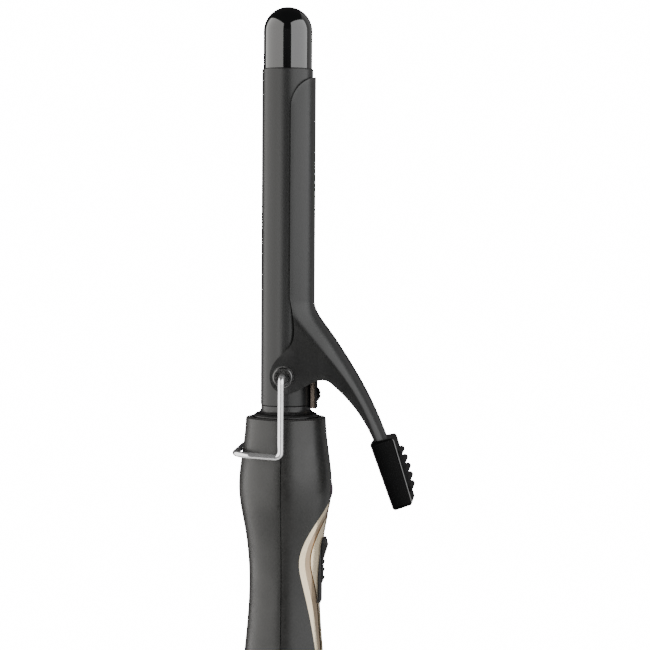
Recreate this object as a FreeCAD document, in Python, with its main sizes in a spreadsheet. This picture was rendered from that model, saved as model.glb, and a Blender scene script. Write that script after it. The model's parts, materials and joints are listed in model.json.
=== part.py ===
import FreeCAD, Part
import os
import re
from math import cos, pi, radians, sin, sqrt, tan
from types import SimpleNamespace

import Sketcher

# Curling iron. +Z runs along the barrel to the tip, +X is the clamp's side, Y is the clamp's pivot axis.
# The origin is on the barrel's axis, at the bottom face of the swivelling cord gland. Millimetres.

V = FreeCAD.Vector
UP = V(0, 0, 1)

# Driving dimensions.
SIZES = {
    # handle
    "handle_length": 141.0,
    "rim_step": 5.5,
    "collar_zone_step": 0.9,
    "collar_zone_below_rim": 10.5,
    "shoulder_radius": 17.45,
    "shoulder_below_rim": 27.5,
    "neck_radius": 15.2,
    "neck_below_rim": 41.8,
    "waist_radius": 13.45,
    "waist_below_rim": 64.0,
    "grip_radius": 15.0,
    "grip_below_rim": 86.5,
    "swell_radius": 16.8,
    "swell_above_tail": 19.0,
    "tail_radius": 13.6,
    "shell_wall": 2.6,
    "rim_round": 0.5,
    "tail_round": 1.2,
    "seam_width": 0.36,
    "seam_depth": 0.6,
    # barrel
    "barrel_diameter": 19.0,
    "barrel_wall": 0.8,
    "barrel_length": 125.3,
    "barrel_above_rim": 4.4,
    "barrel_lip": 0.6,
    "tip_length": 22.8,
    "tip_step": 0.45,
    "tip_plug_length": 9.0,
    # collars
    "collar_inset": 0.2,
    "collar_flare": 1.7,
    "collar_straight": 1.3,
    "collar_arc": 2.2,
    "ring_inset": 2.8,
    "ring_height": 1.3,
    "ring_skirt": 2.4,
    # pivot
    "pivot_above_rim": 15.8,
    "stud_radius": 2.2,
    "stud_depth": 4.4,
    "stud_head_radius": 3.55,
    "stud_head_height": 1.55,
    "stud_recess_radius": 2.5,
    "stud_recess_depth": 0.9,
    "washer_radius": 4.0,
    "washer_thickness": 0.25,
    "running_clearance": 0.05,
    # clamp
    "clamp_sheet": 0.75,
    "clamp_clearance": 0.3,
    "clamp_setback": 2.6,
    "blade_edge": 2.3,
    "blade_corner": 12.0,
    "lever_start": 28.6,
    "lever_bend": 12.0,
    "lever_bow": 177.0,
    "lever_slope": 38.0,
    "lever_narrowing": 2.55,
    "lever_back_depth": 4.2,
    "lever_drop": 30.5,
    "ear_reach": 5.0,
    "thumb_slope": 20.0,
    "thumb_length": 27.0,
    "thumb_overhang": 1.3,
    "thumb_depth_top": 8.5,
    "thumb_depth_end": 7.1,
    "thumb_top_cut": 1.3,
    "thumb_corner": 1.3,
    "thumb_edge": 0.4,
    "thumb_pad": 0.6,
    "thumb_rib_radius": 1.2,
    "thumb_rib_start": 7.6,
    "thumb_rib_pitch": 3.4,
    "thumb_rib_rise": 0.35,
    "thumb_rib_bow": 0.45,
    "thumb_reach": 21.4,
    "thumb_down": 24.0,
    # clamp spring
    "spring_sheet": 0.5,
    "spring_half_width": 3.2,
    "spring_plate": 1.5,
    "spring_screw_radius": 1.25,
    "spring_screw_head": 2.65,
    "spring_screw_rise": 1.5,
    "spring_screw_above_barrel_end": 4.3,
    # stand
    "wire_diameter": 2.2,
    "stand_side_gap": 0.7,
    "stand_rear_gap": 0.4,
    "stand_drop": 29.3,
    "stand_rise": 1.1,
    "stand_corner": 6.0,
    "stand_bend": 2.0,
    # trim, lamp and switch
    "trim_depth": 1.8,
    "trim_band": 2.0,
    "trim_groove": 2.0,
    "trim_groove_depth": 0.7,
    "trim_inlay": 0.4,
    "trim_panel_depth": 0.2,
    "trim_tilt": 0.8,
    "trim_edge": 6.6,
    "lens_half_height": 3.05,
    "lens_half_width": 2.2,
    "lens_proud": 0.45,
    "bezel_height": 25.0,
    "bezel_half_width": 3.6,
    "bezel_below_rim": 44.9,
    "bezel_face": 13.8,
    "bezel_depth": 3.8,
    "bezel_corner": 1.2,
    "slider_height": 17.0,
    "slider_half_width": 2.8,
    "slider_rise": 2.2,
    "slider_lift": 0.15,
    "switch_travel": 6.0,
    "switch_stem": 3.0,
    # board
    "board_thickness": 1.6,
    "board_side_gap": 2.85,
    "board_height": 42.0,
    "board_front": 4.0,
    "board_below_rim": 43.0,
    # swivel
    "gland_length": 6.0,
    "gland_radius": 6.2,
    "gland_journal": 5.2,
    "gland_stem": 4.0,
    "cord_bore": 3.4,
    "contact_back": 11.0,
    "bush_radius": 8.2,
    "bush_flange": 10.0,
    "bush_collar": 0.4,
    "slip_ring_wall": 0.6,
    "slip_ring_height": 2.2,
    # fasteners and wires
    "handle_screw_radius": 1.4,
    "handle_screw_head": 2.7,
    "handle_screw_seat": 9.0,
    "handle_screw_length": 17.0,
    "boss_radius": 3.4,
    "board_screw_radius": 1.0,
    "board_screw_spread": 4.5,
    "board_screw_height": 4.0,
    "lead_radius": 0.6,
}

# Heights and radii worked out from the driving dimensions.
PLACES = {
    "tail": "gland_length",
    "rim": "tail + handle_length",
    "rim_radius": "barrel_diameter / 2 + rim_step",
    "collar_zone_radius": "rim_radius + collar_zone_step",
    "pivot": "rim + pivot_above_rim",
    "barrel_radius": "barrel_diameter / 2",
    "barrel_bore": "barrel_radius - barrel_wall",
    "barrel_bottom": "rim + barrel_above_rim",
    "barrel_top": "barrel_bottom + barrel_length",
    "tip_radius": "barrel_radius - tip_step",
    "tip_top": "barrel_top + tip_length",
    "plug_radius": "barrel_bore - running_clearance",
    "carrier_neck": "plug_radius - 0.2",
    "carrier_core": "plug_radius - 4.4",
    "collar_radius": "barrel_radius - collar_inset",
    "collar_flare_radius": "collar_radius + collar_flare",
    "ring_radius": "rim_radius - ring_inset",
    "ring_top": "rim + 1.4",
    "clamp_inner": "barrel_radius + clamp_clearance",
    "clamp_outer": "clamp_inner + clamp_sheet",
    "washer_face": "clamp_outer + running_clearance",
    "head_face": "washer_face + washer_thickness",
    "stud_end": "barrel_radius - stud_depth",
    "wire_radius": "wire_diameter / 2",
    "stud_bore": "wire_radius + running_clearance",
    "stand_half_width": "collar_zone_radius + stand_side_gap + wire_radius",
    "stand_foot": "collar_zone_radius + stand_rear_gap + wire_radius",
    "lever_half_width": "clamp_outer - lever_narrowing",
    "thumb_half_width": "lever_half_width + thumb_overhang",
    "thumb_out": "clamp_outer + thumb_reach",
    "ear_hole": "stud_radius + running_clearance",
    "spring_screw_height": "barrel_bottom + spring_screw_above_barrel_end",
    "plate_face": "barrel_radius + 0.1",
    "spring_face": "plate_face + spring_plate",
    "screw_face": "spring_face + spring_sheet",
    "bezel_top": "rim - bezel_below_rim",
    "bezel_bottom": "bezel_top - bezel_height",
    "bezel_back": "bezel_face - bezel_depth",
    "slider_base": "bezel_face + slider_lift",
    "slider_top": "bezel_top - 0.4",
    "slider_bottom": "slider_top - slider_height",
    "stem_top": "slider_top - 5.5",
    "stem_bottom": "stem_top - 5.0",
    "stem_half_width": "switch_stem / 2",
    "lens_height": "rim - shoulder_below_rim + 0.35",
    "board_top": "rim - board_below_rim",
    "board_bottom": "board_top - board_height",
    "board_back": "board_front - board_thickness",
    "board_half_width": "waist_radius - shell_wall - board_side_gap",
    "upper_screw": "rim - 35",
    "lower_screw": "board_bottom - 14",
    "bush_top": "tail + shell_wall + bush_collar",
    "clip_bottom": "bush_top + 2.1",
    "stem_end": "clip_bottom + 14.5",
    "slip_ring_radius": "gland_stem + slip_ring_wall",
    "heater_bottom": "barrel_bottom + 39",
    "heater_top": "barrel_top - 14",
}

doc = FreeCAD.newDocument("CurlingIron")


def fill_sheet(name, rows):
    """A spreadsheet with one named value per row."""
    sheet = doc.addObject("Spreadsheet::Sheet", name)
    for row, (alias, value) in enumerate(rows.items(), start=1):
        sheet.set(f"A{row}", alias)
        sheet.set(f"B{row}", value)
        sheet.setAlias(f"B{row}", alias)
    return sheet


def formula(text):
    """Points each word of an expression at the sheet that holds it."""
    def place(match):
        word = match.group(0)
        if word in SIZES:
            return "Sizes." + word
        return "Places." + word if word in PLACES else word
    return re.sub(r"[a-z][a-z_]*", place, str(text))


def local_formula(text):
    """An expression for the Places sheet, whose own names need no prefix."""
    return "=" + formula(text).replace("Places.", "")


sizes = fill_sheet("Sizes", {alias: str(value) for alias, value in SIZES.items()})
doc.recompute()
places = fill_sheet("Places", {alias: local_formula(text) for alias, text in PLACES.items()})
doc.recompute()

d = SimpleNamespace()
for sheet, names in ((sizes, SIZES), (places, PLACES)):
    for alias in names:
        setattr(d, alias, float(sheet.get(alias)))


# ---- building blocks ----

def origin_plane(body, role):
    return [item for item in body.Origin.OriginFeatures if item.Role == role][0]


def draw(body, name, role, corners):
    """A closed sketch through corners (across, up), each bound to the sheets.
    A third item names the radius of the arc to the next corner, which bulges left of the way there,
    or right where the name has a minus sign."""
    sketch = body.newObject("Sketcher::SketchObject", name)
    sketch.AttachmentSupport = [(origin_plane(body, role), "")]
    sketch.MapMode = "FlatFace"
    for number, corner in enumerate(corners):
        sketch.addGeometry(Part.Point(V(number, number, 0)), True)
        across = sketch.addConstraint(Sketcher.Constraint("DistanceX", -1, 1, number, 1, 1.0 + number))
        sketch.setExpression(f"Constraints[{across}]", formula(corner[0]))
        up = sketch.addConstraint(Sketcher.Constraint("DistanceY", -1, 1, number, 1, 1.0 + number))
        sketch.setExpression(f"Constraints[{up}]", formula(corner[1]))
    doc.recompute()
    spots = [V(sketch.Geometry[number].X, sketch.Geometry[number].Y, 0) for number in range(len(corners))]
    for number, corner in enumerate(corners):
        following = (number + 1) % len(corners)
        start, end = spots[number], spots[following]
        if len(corner) == 3:
            name = corner[2].lstrip("-")
            radius = getattr(d, name)
            reverse = not corner[2].startswith("-")
            ends = (end, start) if reverse else (start, end)
            edge = sketch.addGeometry(arc_between(*ends, radius), False)
            size = sketch.addConstraint(Sketcher.Constraint("Radius", edge, radius))
            sketch.setExpression(f"Constraints[{size}]", formula(name))
        else:
            edge = sketch.addGeometry(Part.LineSegment(start, end), False)
            reverse = False
        sketch.addConstraint(Sketcher.Constraint("Coincident", edge, 2 if reverse else 1, number, 1))
        sketch.addConstraint(Sketcher.Constraint("Coincident", edge, 1 if reverse else 2, following, 1))
    return sketch


def arc_between(start, end, radius):
    """The short arc of that radius from start to end that bulges right of the way there."""
    way = end - start
    side = V(way.y, -way.x, 0).normalize()
    rise = radius - sqrt(max(radius ** 2 - (way.Length / 2) ** 2, 0.0))
    return Part.Arc(start, (start + end) * 0.5 + side * rise, end)


def turned(label, corners, role="XZ_Plane"):
    """A body turned from one outline about the sketch's upright axis."""
    body = doc.addObject("PartDesign::Body", label)
    body.Label = label
    sketch = draw(body, label + "_outline", role, corners)
    turn = body.newObject("PartDesign::Revolution", label + "_turn")
    turn.Profile = sketch
    turn.ReferenceAxis = (sketch, ["V_Axis"])
    turn.Angle = 360
    doc.recompute()
    return body


def rectangle(x0, x1, z0, z1):
    return [(x0, z0), (x1, z0), (x1, z1), (x0, z1)]


def cross_hole(body, name, radius, height, length="60 mm", role="XZ_Plane", both=True, flip=False):
    """A round hole square to the plane, through the body's axis at that height."""
    sketch = body.newObject("Sketcher::SketchObject", name + "_circle")
    sketch.AttachmentSupport = [(origin_plane(body, role), "")]
    sketch.MapMode = "FlatFace"
    sketch.addGeometry(Part.Circle(V(0, 1, 0), V(0, 0, 1), 1.0), False)
    size = sketch.addConstraint(Sketcher.Constraint("Radius", 0, 1.0))
    sketch.setExpression(f"Constraints[{size}]", formula(radius))
    rise = sketch.addConstraint(Sketcher.Constraint("DistanceY", -1, 1, 0, 3, 1.0))
    sketch.setExpression(f"Constraints[{rise}]", formula(height))
    sketch.addConstraint(Sketcher.Constraint("PointOnObject", 0, 3, -2))
    pocket = body.newObject("PartDesign::Pocket", name)
    pocket.Profile = sketch
    pocket.Midplane = both
    pocket.Reversed = flip
    pocket.Length = length
    before = body.Shape.Volume
    doc.recompute()
    if body.Shape.Volume >= before:
        raise ValueError(name + " cut nothing")
    return pocket


def box(label, x0, x1, y0, y1, z0, z1):
    """A block between two corners, given as expressions."""
    block = doc.addObject("Part::Box", label)
    block.Label = label
    for side, low, high in (("Length", x0, x1), ("Width", y0, y1), ("Height", z0, z1)):
        block.setExpression(side, formula(f"({high}) - ({low})"))
    for axis, low in (("x", x0), ("y", y0), ("z", z0)):
        block.setExpression("Placement.Base." + axis, formula(low))
    return block


TURNS = {
    "x": FreeCAD.Rotation(V(0, 1, 0), 90),
    "y": FreeCAD.Rotation(V(1, 0, 0), -90),
    "z": FreeCAD.Rotation(),
}


def rod(label, radius, length, axis, x, y, z):
    """A cylinder that starts at x, y, z and runs along the axis."""
    shaft = doc.addObject("Part::Cylinder", label)
    shaft.Label = label
    shaft.setExpression("Radius", formula(radius))
    shaft.setExpression("Height", formula(length))
    shaft.Placement = FreeCAD.Placement(V(0, 0, 0), TURNS[axis])
    for side, place in (("x", x), ("y", y), ("z", z)):
        shaft.setExpression("Placement.Base." + side, formula(place))
    return shaft


def minus(label, base, *tools):
    """Base with the tools cut from it, one after the other."""
    for number, tool in enumerate(tools):
        cut = doc.addObject("Part::Cut", f"{label}_cut{number}")
        cut.Base = base
        cut.Tool = tool
        base = cut
    base.Label = label
    return base


def joined(label, *pieces):
    fused = doc.addObject("Part::MultiFuse", label)
    fused.Label = label
    fused.Shapes = list(pieces)
    return fused


def group(label, *pieces):
    """Separate identical solids in one node."""
    pack = doc.addObject("Part::Compound", label)
    pack.Label = label
    pack.Links = list(pieces)
    return pack


def feature(label, shape, z=0.0):
    """A free-form piece, drawn about height zero and placed at z."""
    piece = doc.addObject("Part::Feature", label)
    piece.Label = label
    piece.Shape = shape
    piece.Placement = FreeCAD.Placement(V(0, 0, z), FreeCAD.Rotation())
    return piece


def bent_path(points, radii):
    """Straight runs through the points, joined by tangent arcs of the given radii."""
    points = [V(*point) for point in points]
    edges = []
    start = points[0]
    for before, corner, after, radius in zip(points, points[1:], points[2:], radii):
        back = (before - corner).normalize()
        ahead = (after - corner).normalize()
        half = back.getAngle(ahead) / 2
        reach = radius / tan(half)
        bisector = (back + ahead).normalize()
        middle = corner + bisector * (radius / sin(half) - radius)
        entry, leave = corner + back * reach, corner + ahead * reach
        if (entry - start).Length > 1e-6:
            edges.append(Part.LineSegment(start, entry).toShape())
        edges.append(Part.Arc(entry, middle, leave).toShape())
        start = leave
    edges.append(Part.LineSegment(start, points[-1]).toShape())
    return Part.Wire(edges)


def bent_wire(points, radii, wire_radius):
    """A round wire along a bent path."""
    path = bent_path(points, radii)
    first = V(*points[1]) - V(*points[0])
    section = Part.Wire(Part.Circle(V(*points[0]), first, wire_radius).toShape())
    return path.makePipeShell([section], True, False)


def bent_strip(points, radii, thickness, half_width):
    """A flat strip bent in the XZ plane; the points run along the middle of the sheet."""
    path = bent_path([(x, 0, z) for x, z in points], radii)
    way = (V(points[1][0], 0, points[1][1]) - V(points[0][0], 0, points[0][1])).normalize()
    out = V(-way.z, 0, way.x) * (thickness / 2)
    start = V(points[0][0], 0, points[0][1])
    side = V(0, half_width, 0)
    corners = [start + out + side, start + out - side, start - out - side, start - out + side]
    section = Part.makePolygon(corners + corners[:1])
    return path.makePipeShell([section], True, False)


def prism_y(edges, half_depth):
    """The flat XZ outline of those edges, extruded equally to both sides of Y zero."""
    face = Part.Face(Part.Wire(edges))
    face.translate(V(0, -half_depth, 0))
    return face.extrude(V(0, 2 * half_depth, 0))


def smooth_curve(points):
    curve = Part.BSplineCurve()
    curve.interpolate([V(x, 0, z) for x, z in points])
    return curve.toShape()


def line(start, end):
    return Part.LineSegment(V(start[0], 0, start[1]), V(end[0], 0, end[1])).toShape()


def polygon_edges(points):
    return [line(start, end) for start, end in zip(points, points[1:])]


# ---- handle ----

def handle_stations():
    """Radius and height of the handle's outline, from the rim down to the tail."""
    return [
        (d.rim_radius, d.rim),
        (d.collar_zone_radius, d.rim - d.collar_zone_below_rim),
        (d.shoulder_radius, d.rim - d.shoulder_below_rim),
        (d.neck_radius, d.rim - d.neck_below_rim),
        (d.waist_radius, d.rim - d.waist_below_rim),
        (d.grip_radius, d.rim - d.grip_below_rim),
        (d.swell_radius, d.tail + d.swell_above_tail),
        (d.tail_radius, d.tail),
    ]


def handle_solid(inset, extra=0.0):
    """The handle's round form, its surface moved in by inset, its ends out by extra."""
    outline = [(radius - inset, height) for radius, height in handle_stations()]
    top, bottom = outline[0], outline[-1]
    edges = [smooth_curve(outline)]
    if extra:
        edges.insert(0, line((top[0], top[1] + extra), top))
        edges.append(line(bottom, (bottom[0], bottom[1] - extra)))
    high = (0, top[1] + extra)
    low = (0, bottom[1] - extra)
    edges.append(line((bottom[0], low[1]), low))
    edges.append(line(low, high))
    edges.append(line(high, (top[0], high[1])))
    return Part.Face(Part.Wire(edges)).revolve(V(0, 0, 0), UP, 360)


def half_space(sign):
    """A block that holds all of one side of the seam plane."""
    size = 2 * (d.rim + d.swell_radius)
    low = V(0 if sign > 0 else -size, -size / 2, -size / 2)
    return Part.makeBox(size, size, 2 * size, low)


def shell_tube():
    """Both shells as one hollow piece, with the tail wall and the rounded rim."""
    outer = handle_solid(0.0)
    for height, radius in ((d.rim, d.rim_round), (d.tail, d.tail_round)):
        edges = [edge for edge in outer.Edges if edge.Closed and abs(edge.CenterOfMass.z - height) < 0.01]
        outer = outer.makeFillet(radius, edges)
    room = Part.makeCylinder(2 * d.swell_radius, d.handle_length, V(0, 0, d.tail + d.shell_wall))
    cavity = handle_solid(d.shell_wall, 1.0).common(room)
    tail_hole = Part.makeCylinder(d.bush_radius, 3 * d.shell_wall, V(0, 0, d.tail - 1))
    return outer.cut(cavity).cut(tail_hole)


def seam_groove():
    """A shallow line round the handle where the two shells meet."""
    slab = Part.makeBox(d.seam_width, 4 * d.swell_radius, d.handle_length + 8,
                        V(-d.seam_width / 2, -2 * d.swell_radius, d.tail - 4))
    return slab.cut(handle_solid(d.seam_depth, 6.0))


def screw_boss(height, x0, x1, radius):
    return Part.makeCylinder(radius, x1 - x0, V(x0, 0, height), V(1, 0, 0))


def trim_edge_points(shift):
    """Side outline of the leaf-shaped trim, from the top point down; the shift fades at its ends."""
    rim, tail = d.rim, d.tail
    return [
        (d.shoulder_radius + 0.6 + 0.3 * shift, rim - 28.8),
        (14.0 + 0.55 * shift, rim - 36.3),
        (d.trim_edge + 2.0 + 0.9 * shift, rim - 45.5),
        (d.trim_edge + shift, rim - 52.4),
        (d.trim_edge + 1.2 + shift, rim - 61.9),
        (11.4 + 0.55 * shift, rim - 79.8),
        (d.swell_radius - 2.0 + 0.35 * shift, tail + 36.0),
        (d.swell_radius + 0.6 + 0.3 * shift, tail + 19.0),
    ]


def trim_prism(shift):
    points = trim_edge_points(shift)
    far = 3 * d.swell_radius
    edges = [smooth_curve(points)]
    edges += polygon_edges([points[-1], (far, points[-1][1]), (far, points[0][1]), points[0]])
    return prism_y(edges, 2 * d.swell_radius)


def trim_form(inset):
    """The handle's form moved in, then leant out at the top, as the sunk parts of the trim follow it."""
    form = handle_solid(inset, 6.0)
    form.rotate(V(0, 0, (d.bezel_top + d.bezel_bottom) / 2), V(0, 1, 0), d.trim_tilt)
    return form


def window_block(start, length):
    """The upright opening of the switch, with rounded corners, along X."""
    corner = V(start, -d.bezel_half_width, d.bezel_bottom)
    block = Part.makeBox(length, 2 * d.bezel_half_width, d.bezel_height, corner)
    corners = [edge for edge in block.Edges if edge.BoundBox.XLength > 1]
    return block.makeFillet(d.bezel_corner, corners)


def switch_window():
    """What the shell and the inlay leave open for the bezel."""
    return window_block(d.board_front, 3 * d.swell_radius)


def lens_prism(start, length):
    """An upright oval along X."""
    oval = Part.Ellipse(V(start, 0, d.lens_half_height), V(start, d.lens_half_width, 0), V(start, 0, 0))
    oval.translate(V(0, 0, d.lens_height))
    return Part.Face(Part.Wire(oval.toShape())).extrude(V(length, 0, 0))


def board_post(side):
    """A post from the front shell to the board, and the hole for its screw."""
    foot = V(d.board_front, side * d.board_screw_spread, d.board_bottom + d.board_screw_height)
    post = Part.makeCylinder(d.board_screw_radius + 1.1, 3 * d.swell_radius, foot, V(1, 0, 0))
    return post, Part.makeCylinder(d.board_screw_radius, 5.0, foot, V(1, 0, 0))


def make_front_shell(tube, inside):
    shell = tube.common(half_space(1))
    hole_depth = d.handle_screw_length - d.handle_screw_seat + 1
    for height in (d.upper_screw, d.lower_screw):
        boss = screw_boss(height, d.running_clearance, 3 * d.swell_radius, d.boss_radius).common(inside)
        shell = shell.fuse(boss)
        shell = shell.cut(screw_boss(height, 0, hole_depth, d.handle_screw_radius))
    for side in (-1, 1):
        post, hole = board_post(side)
        shell = shell.fuse(post.common(inside)).cut(hole)
    pocket = trim_prism(0.0).cut(handle_solid(d.trim_depth, 6.0))
    lamp_hole = lens_prism(d.board_front, 2 * d.swell_radius)
    feature("handle_shell_front", shell.cut(pocket).cut(switch_window()).cut(lamp_hole))


def make_rear_shell(tube, inside):
    shell = tube.common(half_space(-1))
    clearance = 0.2
    for height in (d.upper_screw, d.lower_screw):
        boss = screw_boss(height, -3 * d.swell_radius, -d.running_clearance, d.boss_radius).common(inside)
        shell = shell.fuse(boss)
        shell = shell.cut(screw_boss(height, -30, 0, d.handle_screw_radius + clearance))
        shell = shell.cut(screw_boss(height, -30, -d.handle_screw_seat, d.handle_screw_head + clearance))
    corner = V(-d.contact_back - 3 * d.swell_radius, -5.0, d.clip_bottom + 3)
    saddle = Part.makeBox(3 * d.swell_radius, 10.0, 10.5, corner)
    feature("handle_shell_rear", shell.fuse(saddle.common(inside)))


def make_shells():
    tube = shell_tube().cut(seam_groove())
    inside = handle_solid(d.shell_wall / 2, 1.0)
    make_front_shell(tube, inside)
    make_rear_shell(tube, inside)


def make_trim():
    outer = handle_solid(0.03, 6.0)
    core = handle_solid(d.trim_depth, 6.0)
    sheet = outer.cut(core).common(half_space(1))
    whole = trim_prism(0.0)
    inner = trim_prism(d.trim_band)
    panel = trim_prism(d.trim_band + d.trim_groove)
    channel = inner.cut(panel)
    groove_floor = d.trim_panel_depth + d.trim_groove_depth
    band = whole.cut(inner).common(sheet)
    groove = channel.common(sheet).common(trim_form(groove_floor))
    plate = panel.common(sheet).common(trim_form(d.trim_panel_depth))
    trim = band.fuse([groove, plate]).cut(switch_window())
    feature("gold_trim", trim.removeSplitter())
    inlay = channel.common(sheet).common(trim_form(groove_floor - d.trim_inlay))
    feature("trim_inlay", inlay.cut(trim_form(groove_floor)).cut(switch_window()))


def make_lamp():
    """Oval lens through the front shell, its face slightly domed, and the lamp behind it."""
    start = d.shoulder_radius - d.shell_wall - 0.4
    lens = lens_prism(start, d.shell_wall + 0.4 + d.lens_proud)
    face = d.shoulder_radius + d.lens_proud
    dome = Part.makeSphere(9.0, V(face - 9.0, 0, d.lens_height))
    feature("pilot_lens", lens.common(dome))
    radius, length = 1.5, 4.0
    back = start - length - radius - 0.3
    lamp = Part.makeCylinder(radius, length, V(back, 0, d.lens_height), V(1, 0, 0))
    pieces = [lamp.fuse(Part.makeSphere(radius, V(back + length, 0, d.lens_height)))]
    run, foot = d.board_front + 1.4, d.board_top - 2.0
    for side in (-1, 1):
        near, far = side * 0.7, side * (d.board_half_width - 2.6)
        points = [(back, near, d.lens_height), (run, near, d.lens_height), (run, far, d.lens_height - 6),
                  (run, far, foot), (d.board_front, far, foot)]
        pieces.append(bent_wire(points, (1.0, 2.0, 2.0, 0.8), 0.25))
    feature("pilot_led", Part.Compound(pieces))


def make_switch():
    slot_top = d.stem_top + 0.3
    slot_bottom = d.stem_bottom - d.switch_travel - 0.3
    half = d.stem_half_width + 0.2
    slot = Part.makeBox(20, 2 * half, slot_top - slot_bottom, V(0, -half, slot_bottom))
    bezel = window_block(d.bezel_back, d.bezel_depth)
    rim_edges = [edge for edge in bezel.Edges if edge.BoundBox.XMin > d.bezel_face - 0.01]
    bezel = bezel.makeFillet(0.5, rim_edges).cut(slot)
    feature("switch_bezel", bezel)

    low, high, base = d.slider_bottom, d.slider_top, d.slider_base
    crest = base + d.slider_rise
    shelf = base + 0.55
    cap_edges = polygon_edges([
        (base, low), (base, high), (crest - 0.8, high), (crest, high - 2.9), (shelf, high - 8.5),
        (shelf - 0.2, low), (base, low)])
    cap = prism_y(cap_edges, d.slider_half_width)
    cap = cap.makeFillet(0.18, [edge for edge in cap.Edges if edge.BoundBox.XMin > base + 0.1])
    for number in range(3):
        foot = V(shelf - 0.1, -d.slider_half_width + 0.4, high - 9.4 - 3.0 * number)
        cap = cap.fuse(Part.makeCylinder(0.5, 2 * d.slider_half_width - 0.8, foot, V(0, 1, 0)))
    stem = Part.makeBox(base + 0.2 - d.bezel_back, d.switch_stem, d.stem_top - d.stem_bottom,
                        V(d.bezel_back, -d.stem_half_width, d.stem_bottom))
    feature("switch_slider", cap.fuse(stem))

    middle = (d.stem_top + d.stem_bottom) / 2
    floor = d.board_front + 2.4
    feature("switch_actuator", Part.makeBox(d.bezel_back - floor, 2.4, 3.0, V(floor, -1.2, middle - 1.5)))
    body_low = middle - d.switch_travel - 5.0
    body = Part.makeBox(4.4, 8.0, middle + 5.0 - body_low, V(d.board_front, -4.0, body_low))
    corner = V(floor - 0.2, -1.4, middle - d.switch_travel - 2.0)
    room = Part.makeBox(4.0, 2.8, d.switch_travel + 4.0, corner)
    feature("switch_body", body.cut(room))


# ---- board and what sits on it ----

def make_board():
    board = box("board_blank", "board_back", "board_front", "-board_half_width", "board_half_width",
                "board_bottom", "board_top")
    screw_height = "board_bottom + board_screw_height"
    holes = [rod(f"board_hole{side}", "board_screw_radius + 0.2", 10, "x", "board_back - 4",
                 f"board_screw_spread * {side}", screw_height) for side in (-1, 1)]
    minus("control_board", board, *holes)
    box("film_capacitor", "board_back - 6.0", "board_back", -6.5, 6.5,
        "board_bottom + 10", "board_bottom + 17")
    box("triac", "board_back - 4.4", "board_back", 0.5, 6.0, "board_bottom + 21", "board_bottom + 31")
    rod("dropper_resistor", 1.7, 11, "z", "board_back - 1.7", -3.5, "board_bottom + 21")
    screws = []
    for side in (-1, 1):
        across = f"board_screw_spread * {side}"
        head = rod(f"board_screw_head{side}", 1.9, 1.3, "x", "board_back - 1.3", across, screw_height)
        shank = rod(f"board_screw_shank{side}", "board_screw_radius", "board_thickness + 4.5", "x",
                    "board_back", across, screw_height)
        screws.append(joined(f"board_screw{side}", head, shank))
    group("board_screws", *screws)


def make_handle_screws():
    screws = []
    for name, height in (("upper", "upper_screw"), ("lower", "lower_screw")):
        head = rod(name + "_screw_head", "handle_screw_head", 2.0, "x", "-handle_screw_seat - 2", 0, height)
        shank = rod(name + "_screw_shank", "handle_screw_radius", "handle_screw_length", "x",
                    "-handle_screw_seat", 0, height)
        drive = box(name + "_screw_drive", "-handle_screw_seat - 2.5", "-handle_screw_seat - 1.2",
                    -1.6, 1.6, height + " - 0.35", height + " + 0.35")
        screws.append(minus(name + "_screw_done", joined(name + "_screw_blank", head, shank), drive))
    group("handle_screws", *screws)


# ---- barrel, tip and collars ----

def make_barrel():
    tube = turned("barrel_tube", [
        ("barrel_bore", "barrel_bottom"),
        ("barrel_radius - barrel_lip", "barrel_bottom", "-barrel_lip"),
        ("barrel_radius", "barrel_bottom + barrel_lip"),
        ("barrel_radius", "barrel_top - barrel_lip", "-barrel_lip"),
        ("barrel_radius - barrel_lip", "barrel_top"),
        ("barrel_bore", "barrel_top")])
    cross_hole(tube, "pivot_holes", "ear_hole", "pivot")
    cross_hole(tube, "spring_screw_hole", "spring_screw_radius", "spring_screw_height", "12 mm", "YZ_Plane", False,
               True)


def make_tip():
    turned("cool_tip", [
        (0, "barrel_top - tip_plug_length"),
        ("plug_radius", "barrel_top - tip_plug_length"),
        ("plug_radius", "barrel_top"),
        ("tip_radius", "barrel_top"),
        ("tip_radius", "tip_top - tip_radius", "-tip_radius"),
        (0, "tip_top")])


def make_collars():
    turned("upper_collar", [
        ("carrier_neck", "ring_top + 0.2"),
        ("collar_flare_radius", "ring_top + 0.2", "collar_arc"),
        ("collar_radius", "barrel_bottom - collar_straight"),
        ("collar_radius", "barrel_bottom"),
        ("carrier_neck", "barrel_bottom")])
    turned("shoulder_ring", [
        ("carrier_neck", "rim - ring_skirt"),
        ("ring_radius - 0.6", "rim - ring_skirt"),
        ("ring_radius - 0.6", "ring_top - ring_height"),
        ("ring_radius", "ring_top - ring_height + 0.3"),
        ("ring_radius", "ring_top - 0.7"),
        ("ring_radius - 0.8", "ring_top"),
        ("collar_radius", "ring_top"),
        ("collar_radius", "ring_top + 0.2"),
        ("carrier_neck", "ring_top + 0.2")])


def make_carrier():
    carrier = turned("barrel_carrier", [
        ("carrier_core", "rim - ring_skirt - 6"),
        ("rim_radius - shell_wall - 0.2", "rim - ring_skirt - 6"),
        ("rim_radius - shell_wall - 0.2", "rim - ring_skirt"),
        ("carrier_neck", "rim - ring_skirt"),
        ("carrier_neck", "barrel_bottom"),
        ("plug_radius", "barrel_bottom"),
        ("plug_radius", "pivot + 9"),
        ("carrier_core", "pivot + 9")])
    cross_hole(carrier, "stud_holes", "stud_radius", "pivot")
    cross_hole(carrier, "spring_screw_seat", "spring_screw_radius", "spring_screw_height", "12 mm", "YZ_Plane",
               False, True)


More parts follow.
